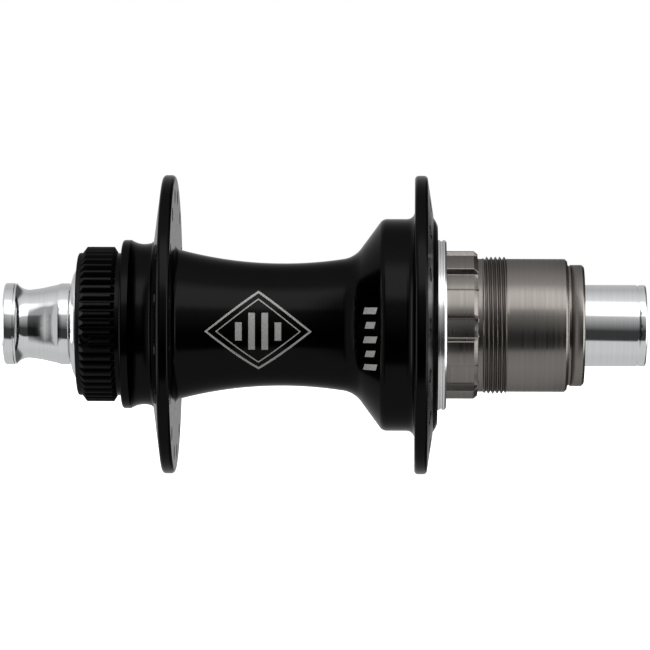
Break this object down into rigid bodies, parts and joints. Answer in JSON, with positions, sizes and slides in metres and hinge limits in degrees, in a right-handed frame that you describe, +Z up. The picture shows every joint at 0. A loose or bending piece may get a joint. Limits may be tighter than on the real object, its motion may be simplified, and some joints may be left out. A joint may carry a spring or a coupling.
{
  "type": "rear bicycle hub",
  "caption": "Rear disc-brake bicycle hub with spoked flanges, splined rotor mount, pawl freehub with threaded cassette driver, cartridge bearings and end caps for a thru axle.",
  "frame": {"origin": "middle of the width over the end caps, on the hub's axis", "axes": "+X along the axle towards the drive side, +Z up, the side seen in the picture faces -Y"},
  "size_m": [0.148, 0.069, 0.069],
  "materials": {
    "black_anodised": "black anodised, semi-gloss",
    "polished_aluminium": "turned and polished",
    "satin_aluminium": "turned, satin",
    "machined_aluminium": "machined",
    "titanium": "turned titanium",
    "hardened_steel": "ground",
    "spring_steel": "rolled strip",
    "blackened_steel": "black oxide",
    "bearing_steel": "ground and polished",
    "bearing_balls": "mirror polished",
    "cage_plastic": "moulded nylon",
    "bearing_seal": "moulded rubber",
    "rubber": "moulded rubber"
  },
  "bodies": {
    "axle_assembly": {"axle": "machined_aluminium", "left_end_cap": "polished_aluminium", "left_cap_o_ring": "rubber", "right_end_cap": "polished_aluminium", "right_cap_o_ring": "rubber", "bearing_spacer": "machined_aluminium", "freehub_spacer": "machined_aluminium", "left_bearing_inner_race": "bearing_steel", "right_bearing_inner_race": "bearing_steel", "inner_freehub_bearing_inner_race": "bearing_steel", "outer_freehub_bearing_inner_race": "bearing_steel"},
    "collar": {"preload_collar": "polished_aluminium", "collar_set_screw": "blackened_steel"},
    "shell": {"hub_shell": "black_anodised", "ratchet_ring": "hardened_steel", "freehub_seal": "rubber", "left_bearing_outer_race": "bearing_steel", "left_bearing_seals": "bearing_seal", "right_bearing_outer_race": "bearing_steel", "right_bearing_seals": "bearing_seal"},
    "freehub": {"freehub_body": "titanium", "freehub_snap_ring": "blackened_steel", "seal_cover": "satin_aluminium", "inner_freehub_bearing_outer_race": "bearing_steel", "inner_freehub_bearing_seals": "bearing_seal", "outer_freehub_bearing_outer_race": "bearing_steel", "outer_freehub_bearing_seals": "bearing_seal", "pawl_spring_1": "spring_steel", "pawl_spring_2": "spring_steel", "pawl_spring_3": "spring_steel"},
    "left_bearing_ball_train": {"left_bearing_balls": "bearing_balls", "left_bearing_cage": "cage_plastic"},
    "right_bearing_ball_train": {"right_bearing_balls": "bearing_balls", "right_bearing_cage": "cage_plastic"},
    "inner_freehub_bearing_ball_train": {"inner_freehub_bearing_balls": "bearing_balls", "inner_freehub_bearing_cage": "cage_plastic"},
    "outer_freehub_bearing_ball_train": {"outer_freehub_bearing_balls": "bearing_balls", "outer_freehub_bearing_cage": "cage_plastic"},
    "pawl_1": {"pawl_1": "hardened_steel"},
    "pawl_2": {"pawl_2": "hardened_steel"},
    "pawl_3": {"pawl_3": "hardened_steel"}
  },
  "joints": [
    {"name": "shell_spin", "type": "hinge", "parent": "axle_assembly", "child": "shell", "pos_m": [0, 0, 0], "axis": [1, 0, 0], "continuous": true},
    {"name": "freehub_spin", "type": "hinge", "parent": "axle_assembly", "child": "freehub", "pos_m": [0, 0, 0], "axis": [1, 0, 0], "continuous": true},
    {"name": "collar_turn", "type": "hinge", "parent": "axle_assembly", "child": "collar", "pos_m": [-0.055, 0, 0], "axis": [1, 0, 0], "range_deg": [0, 90]},
    {"name": "left_bearing_roll", "type": "hinge", "parent": "axle_assembly", "child": "left_bearing_ball_train", "pos_m": [-0.0461, 0, 0], "axis": [1, 0, 0], "continuous": true},
    {"name": "right_bearing_roll", "type": "hinge", "parent": "axle_assembly", "child": "right_bearing_ball_train", "pos_m": [0.0095, 0, 0], "axis": [1, 0, 0], "continuous": true},
    {"name": "inner_freehub_bearing_roll", "type": "hinge", "parent": "axle_assembly", "child": "inner_freehub_bearing_ball_train", "pos_m": [0.0265, 0, 0], "axis": [1, 0, 0], "continuous": true},
    {"name": "outer_freehub_bearing_roll", "type": "hinge", "parent": "axle_assembly", "child": "outer_freehub_bearing_ball_train", "pos_m": [0.0559, 0, 0], "axis": [1, 0, 0], "continuous": true},
    {"name": "pawl_1_swing", "type": "hinge", "parent": "freehub", "child": "pawl_1", "pos_m": [0.019, 0, 0.0146], "axis": [1, 0, 0], "range_deg": [0, 10], "stiffness_Nm_per_rad": 0.002, "springref_deg": 20.05, "deforming": ["pawl_spring_1"]},
    {"name": "pawl_2_swing", "type": "hinge", "parent": "freehub", "child": "pawl_2", "pos_m": [0.019, -0.01264, -0.0073], "axis": [1, 0, 0], "range_deg": [0, 10], "stiffness_Nm_per_rad": 0.002, "springref_deg": 20.05, "deforming": ["pawl_spring_2"]},
    {"name": "pawl_3_swing", "type": "hinge", "parent": "freehub", "child": "pawl_3", "pos_m": [0.019, 0.01264, -0.0073], "axis": [1, 0, 0], "range_deg": [0, 10], "stiffness_Nm_per_rad": 0.002, "springref_deg": 20.05, "deforming": ["pawl_spring_3"]}
  ],
  "couplings": [
    {"joint": "left_bearing_roll", "follows": "shell_spin", "ratio": 0.5921},
    {"joint": "right_bearing_roll", "follows": "shell_spin", "ratio": 0.5921},
    {"joint": "inner_freehub_bearing_roll", "follows": "freehub_spin", "ratio": 0.561},
    {"joint": "outer_freehub_bearing_roll", "follows": "freehub_spin", "ratio": 0.561}
  ]
}
